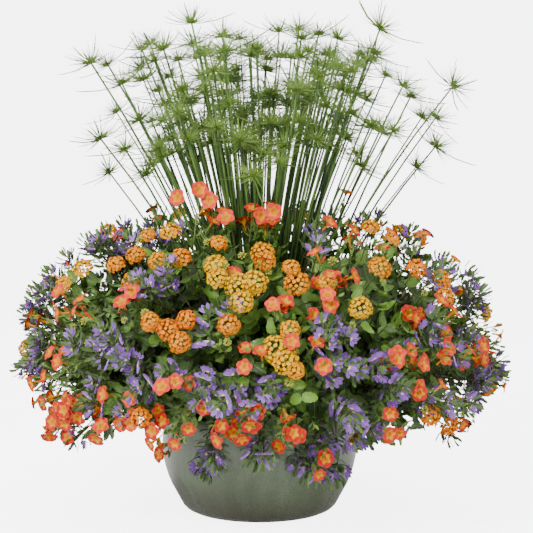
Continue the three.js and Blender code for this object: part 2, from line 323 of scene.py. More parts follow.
def blade(length, widths, fold=0.12, arch=0.1, thick=0.5 * MM, sides=4):
    """A leaf or petal along +Y: a spindle pressed flat, widened row by row, folded and arched."""
    deselect()
    rows = len(widths)
    bpy.ops.mesh.primitive_uv_sphere_add(segments=sides, ring_count=rows + 1, radius=length / 2)
    bpy.ops.object.mode_set(mode="EDIT")
    heights = [-math.cos(math.pi * (i + 1) / (rows + 1)) * length / 2 for i in range(rows)]
    for height, width in zip(heights, widths):
        pick(lambda co: abs(co.z - height) < length * 0.004)
        now = math.sqrt(max(length * length / 4 - height * height, 1e-12))
        bpy.ops.transform.resize(value=(width / now, thick / now, 1), center_override=(0, 0, height))
        lift = arch * length * (1 - (2 * height / length) ** 2)
        bpy.ops.transform.translate(value=(0, lift, 0))
    bpy.ops.object.mode_set(mode="OBJECT")
    thing = bpy.context.object
    thing.rotation_euler = (-math.pi / 2, 0, 0)
    thing.location = (0, length / 2, 0)
    bpy.ops.object.transform_apply(location=True, rotation=True, scale=True)
    bpy.ops.object.mode_set(mode="EDIT")
    pick(lambda co: abs(co.x) < 1e-6 and 0.02 * length < co.y < 0.98 * length)
    bpy.ops.transform.translate(value=(0, 0, -fold * max(widths)))
    widest = max(widths)
    return take_form(lambda p: (p.x / widest, p.y / length))


def floret(radius, tube, lobes):
    """A lantana floret: a short funnel with a dished face of rounded lobes."""
    deselect()
    bpy.ops.mesh.primitive_cone_add(vertices=lobes * 2, radius1=0, radius2=radius, depth=tube,
                                    end_fill_type="TRIFAN", location=(0, 0, -tube / 2))
    bpy.ops.object.transform_apply(location=True)
    bpy.ops.object.mode_set(mode="EDIT")

    def between_lobes(co):
        share = math.atan2(co.y, co.x) / (2 * math.pi) * lobes
        rim = co.z > -tube * 0.1 and co.xy.length > radius * 0.5
        return rim and abs(share - round(share)) > 0.25

    pick(between_lobes)
    bpy.ops.transform.resize(value=(0.72, 0.72, 1), center_override=(0, 0, 0))
    pick(lambda co: co.xy.length < radius * 0.05 and co.z > -tube * 0.1)
    bpy.ops.transform.translate(value=(0, 0, -radius * 0.22))
    return take_form(lambda p: (p.x / radius, p.y / radius))


def trumpet(radius, tube):
    """A calibrachoa bloom along +Z: tube, flare, and a face of five shallow lobes with a deep throat."""
    deselect()
    bpy.ops.mesh.primitive_cylinder_add(vertices=20, radius=radius * 0.10, depth=tube * 0.5,
                                        location=(0, 0, -tube * 0.75))
    bpy.ops.object.transform_apply(location=True)
    bpy.ops.object.mode_set(mode="EDIT")
    pick(lambda co: co.z > -tube * 0.6)
    for rise, widen in ((0.28, 2.1), (0.17, 2.3), (0.05, 1.95), (0.015, 1.03)):
        bpy.ops.mesh.extrude_region_move(TRANSFORM_OT_translate={"value": (0, 0, tube * rise)})
        bpy.ops.transform.resize(value=(widen, widen, 1), center_override=(0, 0, 0))
    for sink, narrow in ((0.0, 0.94), (-0.03, 0.74), (-0.07, 0.55), (-0.22, 0.40)):
        bpy.ops.mesh.extrude_region_move(TRANSFORM_OT_translate={"value": (0, 0, tube * sink)})
        bpy.ops.transform.resize(value=(narrow, narrow, 1), center_override=(0, 0, 0))
    mesh = bmesh.from_edit_mesh(bpy.context.object.data)
    top = max(v.co.z for v in mesh.verts)
    full = max(v.co.xy.length for v in mesh.verts)
    lobes = ((0, 0.84, 0.05), (1, 0.98, 0.0), (2, 1.05, -0.04), (3, 0.98, 0.0))
    for step, scale, lift in lobes:
        def on_step(co):
            turn = round(math.atan2(co.y, co.x) / (2 * math.pi) * 20) % 4
            return turn == step and co.xy.length > full * 0.62
        pick(on_step)
        bpy.ops.transform.resize(value=(scale, scale, 1), center_override=(0, 0, 0))
        bpy.ops.transform.translate(value=(0, 0, tube * lift))
    bpy.ops.object.mode_set(mode="OBJECT")
    bpy.context.object.scale = (radius / full, radius / full, 1)
    bpy.context.object.location = (0, 0, -top)
    return take_form(lambda p: (p.x / radius, p.y / radius))


def spindle(length, radius, sides=5, rings=4):
    """A slim closed bud along +Z."""
    deselect()
    bpy.ops.mesh.primitive_uv_sphere_add(segments=sides, ring_count=rings, radius=length / 2)
    bpy.ops.object.mode_set(mode="EDIT")
    pick(lambda co: True)
    bpy.ops.transform.resize(value=(2 * radius / length, 2 * radius / length, 1), center_override=(0, 0, 0))
    bpy.ops.transform.translate(value=(0, 0, length / 2))
    pick(lambda co: co.z > length * 0.6)
    bpy.ops.transform.resize(value=(1.25, 1.25, 1), center_override=(0, 0, 0))
    return take_form(lambda p: (p.x / radius, p.z / length))


def thread(length, radius):
    """One ray of an umbel along +Z: a three-sided thread that thins to a point."""
    deselect()
    bpy.ops.mesh.primitive_cone_add(vertices=3, radius1=radius, radius2=0, depth=length,
                                    location=(0, 0, length / 2))
    return take_form(lambda p: (0.0, p.z / length))


# ---------------------------------------------------------------- pieces made of many copies
class Growth:
    """One piece: many copies of forms, each with its own tint, joined in one mesh."""

    def __init__(self, name, material, slot):
        self.name = name
        self.material = material
        self.slot = slot
        self.points = []
        self.corners = []
        self.sizes = []
        self.marks = []
        self.tints = []
        self.count = 0

    def add(self, form, place, tint=0.5):
        turn = np.array(place.to_3x3())
        self.points.append(form.points @ turn.T + np.array(place.translation))
        self.corners.append(form.corners + self.count)
        self.sizes.append(form.sizes)
        self.marks.append(form.marks)
        self.tints.append(np.full(len(form.points), tint))
        self.count += len(form.points)

    def build(self, nodes, smooth=50):
        points = np.concatenate(self.points)
        corners = np.concatenate(self.corners)
        sizes = np.concatenate(self.sizes)
        starts = np.concatenate(([0], np.cumsum(sizes)))
        flat = corners.tolist()
        faces = [flat[starts[i]:starts[i + 1]] for i in range(len(sizes))]
        mesh = bpy.data.meshes.new(self.name)
        mesh.from_pydata(points.tolist(), [], faces)
        marks = mesh.uv_layers.new(name="marks")
        marks.data.foreach_set("uv", np.concatenate(self.marks)[corners].ravel())
        tint = mesh.attributes.new("tint", "FLOAT", "POINT")
        tint.data.foreach_set("value", np.concatenate(self.tints))
        mesh.materials.append(self.material)
        piece = bpy.data.objects.new(self.name, mesh)
        bpy.context.scene.collection.objects.link(piece)
        if smooth:
            deselect()
            piece.select_set(True)
            bpy.context.view_layer.objects.active = piece
            bpy.ops.object.shade_smooth_by_angle(angle=math.radians(smooth))
        return settle(piece, nodes)


def settle(piece, nodes):
    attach(piece, "root")
    if nodes:
        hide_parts(*nodes)
    return piece


def stems(name, paths, material, nodes=(), sides=0):
    """Round stems along lists of (point, radius), made as one bevelled curve and turned into a mesh."""
    deselect()
    curve = bpy.data.curves.new(name, "CURVE")
    curve.dimensions = "3D"
    curve.bevel_depth = 1.0
    curve.bevel_resolution = sides
    curve.use_fill_caps = True
    for path in paths:
        spline = curve.splines.new("POLY")
        spline.points.add(len(path) - 1)
        for knot, (point, radius) in zip(spline.points, path):
            knot.co = (*point, 1)
            knot.radius = radius
    piece = bpy.data.objects.new(name, curve)
    bpy.context.scene.collection.objects.link(piece)
    piece.select_set(True)
    bpy.context.view_layer.objects.active = piece
    bpy.ops.object.convert(target="MESH")
    piece = bpy.context.object
    piece.name = name
    piece.data.materials.clear()
    piece.data.materials.append(material)
    piece.data.shade_smooth()
    return settle(piece, nodes)


def nodes_like(*starts):
    return [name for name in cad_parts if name.startswith(starts)]


# ---------------------------------------------------------------- the mound
MOUND_RADIUS = 0.415
MOUND_BELT = 0.27
MOUND_RISE = 0.27
MOUND_FALL = 0.18


def mound(azimuth, elevation, out=0.0):
    """A point on the mound of foliage and the way it faces; azimuth 0 is the front, 90 is +X."""
    turn = math.radians(azimuth)
    climb = math.radians(max(min(elevation, 88), -88))
    tall = MOUND_RISE if elevation > 0 else MOUND_FALL
    around = Vector((math.sin(turn), -math.cos(turn), 0))
    point = around * MOUND_RADIUS * math.cos(climb) ** 0.72 + UP * (MOUND_BELT + tall * math.sin(climb))
    facing = (around * math.cos(climb) ** 1.2 + UP * math.sin(climb)).normalized()
    return point + facing * out, facing


def root_of(kind, azimuth):
    """The top of the nearest root ball of a kind, found from its CAD node."""
    best = None
    for node in nodes_like(kind):
        if node.endswith("root_ball"):
            low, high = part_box(node)
            middle = Vector(((low[0] + high[0]) / 2, (low[1] + high[1]) / 2, high[2]))
            swing = math.atan2(middle.x, -middle.y) - math.radians(azimuth)
            away = 1 - math.cos(swing)
            if best is None or away < best[0]:
                best = (away, middle)
    return best[1]


def shoot_path(kind, azimuth, tip, way, steps=9):
    """A stem from its root ball to its tip: up, over the rim, then out along its last way."""
    start = root_of(kind, azimuth) + Vector((rng.uniform(-1, 1), rng.uniform(-1, 1), 0)) * 0.022
    reach = (tip - start).length
    first = start + UP * max(0.45 * reach, 0.11) + (tip - start).to_2d().to_3d() * 0.10
    last = tip - way * reach * 0.42
    if tip.z < 0.2:
        last.z = max(last.z, 0.25)
    points = []
    for i in range(steps + 1):
        t = i / steps
        a, b, c, d = (1 - t) ** 3, 3 * t * (1 - t) ** 2, 3 * t * t * (1 - t), t ** 3
        points.append(start * a + first * b + last * c + tip * d)
    return points


def tapered(points, low, high):
    last = len(points) - 1
    return [(tuple(p), low + (high - low) * i / last) for i, p in enumerate(points)]


def at_length(points, back):
    """The point and direction on a path a given length back from its tip."""
    left = back
    for a, b in zip(points[::-1], points[-2::-1]):
        step = (a - b).length
        if left <= step or b is points[0]:
            share = min(left / step, 1.0)
            return a.lerp(b, share), (a - b).normalized()
        left -= step
    return points[0], UP.copy()


def grown(at, along, roll, open_by, size=1.0, width=1.0):
    """A leaf's place: its base at a point, turned round the stem and opened away from it."""
    side = along.cross(UP)
    side = side.normalized() if side.length > 0.05 else Vector((1, 0, 0))
    over = side.cross(along)
    out = side * math.cos(roll) + over * math.sin(roll)
    y = along * math.cos(open_by) + out * math.sin(open_by)
    z = along * math.sin(open_by) - out * math.cos(open_by)
    x = y.cross(z)
    turn = Matrix((x * width, y, z)).transposed() * size
    return Matrix.Translation(at) @ turn.to_4x4()


def facing(at, way, spin, size=1.0):
    """A flower's place: its own +Z turned to face a way."""
    turn = UP.rotation_difference(way).to_matrix() @ Matrix.Rotation(spin, 3, "Z")
    return Matrix.Translation(at) @ (turn * size).to_4x4()


def wobble(way, amount):
    jitter = Vector((rng.gauss(0, 1), rng.gauss(0, 1), rng.gauss(0, 1)))
    return (way + jitter * amount).normalized()


# ---------------------------------------------------------------- dwarf papyrus
# Umbels as seen from the front: sideways and upward place in metres on the plane through the axis.
UMBELS_SEEN = [
    (-0.30, 0.82), (-0.27, 0.815), (-0.195, 0.855), (-0.21, 0.845), (-0.17, 0.845), (-0.12, 0.895),
    (-0.12, 0.855), (-0.145, 0.825), (-0.245, 0.78), (-0.18, 0.765), (-0.255, 0.725), (-0.285, 0.675),
    (-0.24, 0.655), (-0.18, 0.655), (-0.27, 0.61), (-0.215, 0.71), (-0.065, 0.87), (-0.065, 0.825),
    (-0.035, 0.865), (-0.005, 0.845), (0.035, 0.88), (0.07, 0.895), (0.075, 0.865), (0.105, 0.875),
    (0.14, 0.865), (0.215, 0.885), (0.165, 0.805), (0.225, 0.795), (0.255, 0.775), (0.27, 0.755),
    (0.345, 0.775), (0.29, 0.715), (0.315, 0.715), (0.315, 0.66), (0.28, 0.62), (-0.075, 0.695),
    (-0.03, 0.71), (-0.01, 0.685), (0.12, 0.735), (-0.145, 0.725), (0.015, 0.735), (0.01, 0.805),
    (0.20, 0.70), (0.055, 0.78), (-0.10, 0.77), (0.14, 0.77), (0.19, 0.75), (0.24, 0.69),
]
EYE_SIDE = 0.0126
EYE_DISTANCE = 2.9
EYE_HEIGHT = 0.70


def on_sight_line(x, z, depth):
    """The point at a depth behind the axis that is seen at (x, z) on the plane through the axis."""
    grow = (EYE_DISTANCE + depth) / EYE_DISTANCE
    return Vector((x * grow, depth, EYE_HEIGHT + (z - EYE_HEIGHT) * grow))


def off_axis(tilt, turn):
    """The way that leans off +Z by a tilt, towards a turn."""
    return Vector((math.sin(tilt) * math.cos(turn), math.sin(tilt) * math.sin(turn), math.cos(tilt)))


def umbel_rays(growth, ray, hub, way, size, count, spread):
    for i in range(count):
        tilt = spread * math.sqrt((i + 0.5) / count)
        turn = i * GOLDEN + rng.uniform(-0.2, 0.2)
        local = off_axis(tilt, turn)
        out = wobble(UP.rotation_difference(way) @ local, 0.07)
        growth.add(ray, facing(hub, out, 0.0, size * rng.uniform(0.72, 1.12)), rng.uniform(0.1, 1.0))


def plant_papyrus():
    green = leaf_finish("papyrus_ray", (0.020, 0.060, 0.006, 1), (0.15, 0.27, 0.030, 1),
                        (0.22, 0.34, 0.06, 1), 0.5, 0.0, 0.1)
    culm_green = stem_finish("papyrus_culm", (0.018, 0.050, 0.006, 1), (0.085, 0.165, 0.022, 1))
    ray = thread(0.045, 0.72 * MM)
    bract = blade(0.055, [1.0 * MM, 1.3 * MM, 0.9 * MM], 0.3, 0.06, 0.5 * MM)
    basal = blade(0.30, [1.8 * MM, 2.2 * MM, 2.0 * MM, 1.2 * MM], 0.4, 0.05, 0.4 * MM)
    bead = spindle(0.009, 1.6 * MM, 5, 3)
    rays = Growth("papyrus_umbel_rays", green, "papyrus_green")
    bracts = Growth("papyrus_bracts", green, "papyrus_green")
    culms = []
    hubs = []
    for x, z in UMBELS_SEEN:
        room = math.sqrt(max(0.34 ** 2 - x * x, 0.01))
        hubs.append(on_sight_line(x, 0.6 + (z - 0.6) * 0.93, rng.uniform(-0.75, 0.75) * room))
    inner_culms = 145
    for i in range(inner_culms):
        turn = i * GOLDEN
        out = 0.22 * math.sqrt((i + 0.5) / inner_culms)
        high = rng.uniform(0.64, 0.85) - 0.15 * out
        hubs.append(Vector((out * math.cos(turn), out * math.sin(turn), high)))
    middle = Vector(((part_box("papyrus_root_ball")[0][0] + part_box("papyrus_root_ball")[1][0]) / 2, 0,
                     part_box("papyrus_root_ball")[1][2]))
    for hub in hubs:
        hub.z = min(hub.z, 0.868)
        flat = Vector((hub.x, hub.y, 0))
        foot = middle + flat * 0.15 + Vector((rng.gauss(0, 1), rng.gauss(0, 1), 0)) * 0.006
        knee = foot + UP * 0.42 * (hub.z - foot.z) + flat * rng.uniform(0.02, 0.16)
        points = [foot * (1 - t) ** 2 + knee * 2 * t * (1 - t) + hub * t * t for t in np.linspace(0, 1, 9)]
        thick = rng.uniform(1.7, 2.6) * MM
        culms.append(tapered(points, thick * 1.25, thick * 0.68))
        way = wobble((points[-1] - points[-2]).normalized(), 0.15)
        size = rng.uniform(0.75, 1.1)
        umbel_rays(rays, ray, hub, way, size, 78, math.radians(rng.uniform(80, 108)))
        for i in range(7):
            rays.add(bead, facing(hub, wobble(way, 0.35), 0.0, rng.uniform(0.6, 1.0)), rng.uniform(0.8, 1.0))
        for i in range(12):
            reach = rng.uniform(0.6, 1.0) if i > 2 else rng.uniform(1.2, 1.75)
            open_by = rng.uniform(0.5, 1.7) if i > 2 else rng.uniform(1.2, 1.7)
            bracts.add(bract, grown(hub, way, i * GOLDEN + hub.x * 40, open_by, reach * size,
                                    1.0 / reach), rng.uniform(0.1, 1.0))
    low_blades = 70
    for i in range(low_blades):
        turn = i * GOLDEN
        foot = middle + Vector((math.cos(turn), math.sin(turn), 0)) * 0.045 * math.sqrt((i + 0.5) / low_blades)
        lean = (Vector((math.cos(turn), math.sin(turn), 0)) * rng.uniform(0.05, 0.28) + UP).normalized()
        bracts.add(basal, grown(foot, lean, turn + rng.uniform(-1, 1), rng.uniform(0.02, 0.12),
                                rng.uniform(0.9, 1.5)), rng.uniform(0.0, 0.25))
    stems("papyrus_culms", culms, culm_green, nodes_like("papyrus_division"), 1)
    rays.build(["papyrus_division_1"])
    bracts.build(["papyrus_division_2"])


# ---------------------------------------------------------------- where each kind shows on the mound
# Heads of lantana that stand out, as azimuth and elevation on the mound, then size and depth of orange.
LANTANA_SHOWN = [
    (-61, 41, 1.0, 0.15), (-64, 33, 0.9, 0.25), (-46, 44, 0.9, 0.50), (-41, 49, 0.9, 0.55),
    (-46, 59, 0.8, 0.45), (-38, 62, 1.0, 0.20), (-31, 47, 1.0, 0.35), (-24, 49, 1.0, 0.55),
    (-36, 38, 0.9, 0.45), (-12, 46, 1.1, 0.0), (-11, 41, 1.0, 0.0), (-5, 38, 1.3, 0.0),
    (-1, 39, 1.2, 0.0), (-4, 32, 1.1, 0.0), (1, 52, 1.1, 0.35), (2, 48, 1.0, 0.45),
    (9, 45, 0.8, 0.45), (10, 39, 1.2, 0.50), (18, 39, 0.8, 0.30), (56, 64, 0.9, 0.40),
    (55, 56, 0.8, 0.45), (37, 44, 1.1, 0.45), (51, 42, 1.0, 0.65), (59, 36, 1.0, 0.50),
    (55, 30, 1.0, 0.50), (25, 29, 1.1, 0.0), (7, 22, 0.9, 0.30), (4, 16, 1.3, 0.0),
    (6, 12, 1.2, 0.05), (-26, 24, 0.9, 0.55), (-21, 22, 1.0, 0.70), (-17, 25, 0.9, 0.75),
    (-18, 18, 1.0, 0.65), (-7, 24, 1.0, 0.55), (-27, -11, 1.0, 0.70), (43, -15, 1.0, 0.60),
    (54, -25, 0.9, 0.70), (-14, 57, 0.8, 0.45), (8, 9, 0.8, 0.35),
]
# Patches of violet and of coral: azimuth, elevation, half width in degrees, number of shoots.
SCAEVOLA_PATCHES = [
    (-70, 58, 9, 6), (-48, 62, 8, 4), (-78, 34, 8, 4), (-40, 14, 8, 6), (-30, 10, 6, 4), (-26, 2, 5, 3),
    (-38, -3, 6, 4), (-10, 2, 6, 6), (-4, -4, 6, 5), (2, 3, 5, 3), (1, -30, 4, 3), (-13, -42, 4, 3),
    (15, -46, 4, 4), (19, -34, 4, 3), (18, 21, 6, 6), (19, 8, 5, 4), (29, 12, 6, 4), (31, 1, 5, 4),
    (20, -8, 5, 4), (44, 17, 6, 4), (57, 10, 7, 6), (66, -5, 6, 4), (46, -12, 6, 4), (26, -22, 6, 4),
    (26, 66, 7, 3), (-33, 38, 5, 3), (-14, 22, 4, 2), (-8, 30, 4, 2), (-60, -28, 6, 3), (-68, 8, 8, 5),
    (62, 38, 8, 4), (-88, 20, 8, 5), (-86, -6, 8, 5), (84, 24, 8, 5), (82, -2, 8, 5), (-24, 42, 5, 2),
]
CALIBRACHOA_PATCHES = [
    (-50, 24, 8, 6), (-54, 8, 8, 5), (-59, -10, 9, 8), (-46, -12, 8, 8), (-58, -28, 8, 5),
    (-38, -18, 7, 7), (-28, -8, 6, 5), (-20, -18, 6, 5), (-28, -36, 5, 3), (-38, 32, 5, 3),
    (-17, 4, 5, 3), (-6, 20, 5, 3), (0, 14, 5, 3), (-3, 46, 5, 3), (9, 32, 5, 4), (19, 32, 5, 3),
    (13, 16, 5, 3), (22, 43, 5, 4), (40, 52, 6, 3), (34, 8, 6, 5), (40, 2, 7, 6), (52, 15, 7, 6),
    (44, 28, 6, 4), (54, 8, 7, 5), (76, 5, 7, 5), (32, -17, 6, 4), (29, -26, 5, 3),
    (14, -35, 4, 2), (-6, -22, 8, 3), (8, -26, 8, 3),
    (8, -19, 5, 4), (0, -9, 5, 3), (-30, 72, 7, 4), (4, 74, 7, 4), (30, 58, 6, 3), (-12, -12, 5, 3),
    (-70, 18, 8, 5), (-84, 6, 8, 5), (88, 14, 8, 5), (86, -14, 8, 4), (62, -18, 7, 4),
]


# Scaevola tips that hang in front of the bowl: sideways and upward place in metres.
HANGING = [(-0.094, 0.112), (-0.002, 0.128), (0.088, 0.090), (0.118, 0.126), (0.134, 0.082)]


# Calibrachoa blooms that stand up in front of the papyrus: sideways and upward place in metres.
STANDING = [
    (-0.140, 0.562), (-0.110, 0.574), (-0.086, 0.556), (0.000, 0.530), (0.028, 0.538), (-0.058, 0.522),
]


def scattered(patches):
    """Shoots of a kind: those of its patches, in azimuth and elevation."""
    spots = []
    for azimuth, elevation, spread, count in patches:
        for _ in range(count):
            spots.append((azimuth + rng.gauss(0, 0.55) * spread, elevation + rng.gauss(0, 0.5) * spread))
    return spots


def round_the_back(count, low, high):
    """Shoots spread evenly over the sides and back, where no patch was chosen."""
    spots = []
    for i in range(count):
        azimuth = 85 + 190 * ((i * 0.618) % 1)
        share = (i + 0.5) / count
        elevation = low + (high - low) * share + rng.uniform(-6, 6)
        spots.append((azimuth + rng.uniform(-6, 6), elevation))
    return spots


def way_at(elevation, face, droop):
    """The way a tip grows: with the face of the mound, lifted near the top and drooping low down."""
    lift = 0.55 if elevation > 10 else 0.15
    return (face + UP * (lift - droop)).normalized()


def plant_lantana():
    leaf_green = leaf_finish("lantana_leaf", (0.020, 0.045, 0.008, 1), (0.150, 0.30, 0.030, 1),
                             (0.17, 0.30, 0.06, 1), 0.36, 60.0)
    stem_green = stem_finish("lantana_stem", (0.06, 0.085, 0.025, 1), (0.10, 0.075, 0.035, 1))
    bud_green = leaf_finish("lantana_bud", (0.22, 0.30, 0.03, 1), (0.48, 0.46, 0.06, 1),
                            (0.5, 0.45, 0.05, 1), 0.5, 0.0)
    leaf_forms = [
        blade(0.046, [mm * MM for mm in (7.0, 10.2, 14.2, 13.0, 14.6, 10.8, 10.6, 6.2, 4.0)], 0.20, 0.10),
        blade(0.046, [mm * MM for mm in (5.6, 8.6, 12.0, 11.0, 12.4, 9.0, 8.6, 4.8, 3.0)], 0.12, 0.18),
    ]
    florets = [floret(3.9 * MM, 6 * MM, 5), floret(3.7 * MM, 6 * MM, 4)]
    knob = spindle(4.4 * MM, 1.3 * MM, 4, 3)
    leaves = Growth("lantana_leaves", leaf_green, "lantana_green")
    heads = Growth("lantana_florets", floret_finish(), "lantana_gold")
    buds = Growth("lantana_buds", bud_green, "lantana_green")
    twigs = []

    def head(at, way, size, orange):
        """A dome of florets; older ones at the edge are deeper orange than the middle."""
        dome = 0.0175 * size
        count = int(50 * size)
        for i in range(count):
            tilt = math.radians(98) * math.sqrt((i + 0.5) / count)
            turn = i * GOLDEN
            local = off_axis(tilt, turn)
            out = UP.rotation_difference(way) @ local
            spot = at + out * dome * rng.uniform(0.88, 1.10) - way * dome * 0.45
            tone = min(max(orange + 0.22 * (tilt / 1.7) * (0.3 + orange) + rng.gauss(0, 0.05), 0), 1)
            kind = rng.choice(florets)
            place = facing(spot, wobble(out, 0.12), turn, rng.uniform(0.85, 1.12))
            heads.add(kind, place, tone)

    def bud(at, way, size):
        for i in range(16):
            tilt = math.radians(95) * math.sqrt((i + 0.5) / 16)
            turn = i * GOLDEN
            local = off_axis(tilt, turn)
            out = UP.rotation_difference(way) @ local
            buds.add(knob, facing(at + out * 2.4 * MM * size, out, turn, size), rng.uniform(0.3, 1.0))

    spots = list(LANTANA_SHOWN)
    spots += [(a, e, rng.uniform(0.8, 1.1), rng.uniform(0.1, 0.7)) for a, e in round_the_back(34, -20, 66)]
    fillers = [(a, e) for a, e in scattered([(-45, 30, 22, 9), (0, 20, 25, 14), (45, 30, 22, 10),
                                             (0, 55, 40, 14), (-50, -10, 20, 5), (40, -20, 20, 6)])]
    fillers += round_the_back(26, -30, 70)
    for azimuth, elevation, size, orange in spots:
        tip, face = mound(azimuth, elevation, 0.004)
        way = wobble(way_at(elevation, face, 0.1), 0.12)
        points = shoot_path("lantana", azimuth, tip, way)
        twigs.append(tapered(points, 2.2 * MM, 1.0 * MM))
        head(tip + way * 0.008, wobble((way + face * 1.5).normalized(), 0.10), size, orange)
        dress(leaves, leaf_forms, points, 0.034, 4, 0.030, 0.62, 1.05)
        if rng.random() < 0.5:
            at, along = at_length(points, 0.036)
            side = wobble((along + face * 0.6).normalized(), 0.45)
            twigs.append(tapered([at, at + side * 0.02, at + side * 0.04], 0.9 * MM, 0.7 * MM))
            bud(at + side * 0.042, side, rng.uniform(0.9, 1.3))
    for azimuth, elevation in fillers:
        tip, face = mound(azimuth, elevation, -0.012)
        way = wobble(way_at(elevation, face, 0.1), 0.2)
        points = shoot_path("lantana", azimuth, tip, way)
        twigs.append(tapered(points, 2.2 * MM, 0.9 * MM))
        dress(leaves, leaf_forms, points, 0.004, 6, 0.026, 0.55, 1.1)
        if rng.random() < 0.4:
            bud(tip + way * 0.006, way, rng.uniform(0.9, 1.4))
    inner = Growth("lantana_inner_leaves", leaf_green, "lantana_green")
    plain = blade(0.052, [10 * MM, 13 * MM, 6 * MM], 0.15, 0.12)
    inner_shoots = 190
    for i in range(inner_shoots):
        azimuth = math.degrees(i * GOLDEN)
        elevation = -28 + 98 * (i + 0.5) / inner_shoots
        tip, face = mound(azimuth, elevation, rng.uniform(-0.13, -0.055))
        way = wobble(way_at(elevation, face, 0.1), 0.3)
        points = shoot_path("lantana", azimuth, tip, way)
        twigs.append(tapered(points, 2.0 * MM, 1.0 * MM))
        # These inner leaves take a darker tint, as painted shade for the inside of the mound.
        dress(inner, [plain], points, 0.004, 6, 0.022, 0.8, 1.2, 0.35)
    inner.build([], 30)
    stems("lantana_stems", twigs, stem_green)
    leaves.build(nodes_like("lantana_shoot"), 30)
    heads.build(nodes_like("lantana_head"))
    buds.build([])


def dress(growth, forms, points, first, pairs, spacing, small, large, dark=0.0):
    """Opposite pairs of leaves down a stem from its tip, each pair a quarter turn on."""
    roll = rng.uniform(0, math.pi)
    for i in range(pairs):
        at, along = at_length(points, first + i * spacing)
        roll += math.pi / 2
        for half in (0, math.pi):
            size = small + (large - small) * min((i + 1) / pairs, 1) * rng.uniform(0.8, 1.1)
            open_by = rng.uniform(0.75, 1.25) + 0.05 * i
            # dark lowers the tint: painted shade for leaves set inside the mound.
            tone = min(max(rng.gauss(0.5, 0.3) - dark - 0.08 * i, 0), 1)
            form = rng.choice(forms)
            place = grown(at, along, roll + half + rng.gauss(0, 0.2), open_by, size)
            growth.add(form, place, tone)


def spiral(growth, forms, points, first, count, spacing, small, large, opens, dark=0.0):
    """Single leaves down a stem from its tip, by the golden angle."""
    roll = rng.uniform(0, 6)
    for i in range(count):
        at, along = at_length(points, first + i * spacing)
        roll += GOLDEN
        size = small + (large - small) * min(i / 6, 1) * rng.uniform(0.8, 1.15)
        # dark lowers the tint: painted shade for leaves set inside the mound.
        tone = min(max(rng.gauss(0.55, 0.25) - dark - 0.03 * i, 0), 1)
        open_by = opens[0] + (opens[1] - opens[0]) * min(i / 8, 1) + rng.uniform(-0.15, 0.15)
        growth.add(rng.choice(forms), grown(at, along, roll, open_by, size), tone)


def plant_calibrachoa():
    leaf_green = leaf_finish("calibrachoa_leaf", (0.065, 0.135, 0.018, 1), (0.24, 0.40, 0.06, 1),
                             (0.30, 0.44, 0.12, 1), 0.5, 0.0, 0.2)
    stem_green = stem_finish("calibrachoa_stem", (0.14, 0.20, 0.055, 1), (0.24, 0.29, 0.09, 1))
    leaf_forms = [
        blade(0.024, [2.6 * MM, 4.6 * MM, 3.6 * MM], 0.15, 0.12),
        blade(0.024, [2.0 * MM, 4.2 * MM, 4.0 * MM], 0.05, 0.2),
    ]
    bloom = trumpet(14.2 * MM, 20 * MM)
    slim_bud = spindle(0.020, 2.0 * MM)
    leaves = Growth("calibrachoa_leaves", leaf_green, "calibrachoa_green")
    petals = Growth("calibrachoa_blooms", trumpet_finish(), "calibrachoa_coral")
    twigs = []
    spots = scattered(CALIBRACHOA_PATCHES) + round_the_back(90, -32, 72)
    for azimuth, elevation in spots:
        out = min(rng.gauss(0.004, 0.012), 0.02)
        tip, face = mound(azimuth, elevation, out)
        way = wobble(way_at(elevation, face, 0.25), 0.2)
        points = shoot_path("calibrachoa", azimuth, tip, way)
        twigs.append(tapered(points, 1.3 * MM, 0.7 * MM))
        spiral(leaves, leaf_forms, points, 0.0, 17, 0.009, 0.55, 1.0, (0.5, 1.15))
        # Blooms below the belt get a deeper red rim, as painted shade for the mound's underside, and those
        # above a lighter one, as painted light; the spread is random.
        redness_and_painted_shade = min(max(rng.gauss(0.42, 0.3) + (0.25 if elevation < 0 else -0.12), 0), 1)
        flowers = rng.choice([0, 1, 1, 1, 2] if abs(azimuth) < 66 else [0, 0, 1])
        for i in range(flowers):
            at, along = at_length(points, 0.006 + 0.022 * i)
            look = wobble((face + UP * 0.2).normalized(), 0.36)
            spot = at + look * rng.uniform(0.010, 0.024) + wobble(look, 1.0) * 0.008
            twigs.append(tapered([at, (at + spot) / 2, spot - look * 0.020], 0.7 * MM, 0.7 * MM))
            petals.add(bloom, facing(spot, look, rng.uniform(0, 6), rng.uniform(0.82, 1.1)), redness_and_painted_shade)
        if rng.random() < 0.4:
            at, along = at_length(points, 0.012)
            side = wobble((along + face).normalized(), 0.4)
            place = facing(at + side * 0.006, side, 0.0, rng.uniform(0.7, 1.1))
            petals.add(slim_bud, place, rng.uniform(0.2, 0.8))
    for x, z in STANDING:
        tip = on_sight_line(x, z, -0.17)
        way = wobble(Vector((x * 0.8, -0.5, 1)).normalized(), 0.1)
        azimuth = math.degrees(math.atan2(x, 0.17))
        points = shoot_path("calibrachoa", azimuth, tip, way)
        twigs.append(tapered(points, 1.3 * MM, 0.7 * MM))
        spiral(leaves, leaf_forms, points, 0.012, 14, 0.010, 0.6, 1.0, (0.6, 1.15))
        look = wobble(Vector((x, -1, 0.25)).normalized(), 0.2)
        place = facing(tip + look * 0.016, look, rng.uniform(0, 6), 1.08)
        petals.add(bloom, place, rng.uniform(0.0, 0.25))
    stems("calibrachoa_stems", twigs, stem_green)
    leaves.build(nodes_like("calibrachoa_shoot"), 30)
    petals.build(nodes_like("calibrachoa_bloom"))


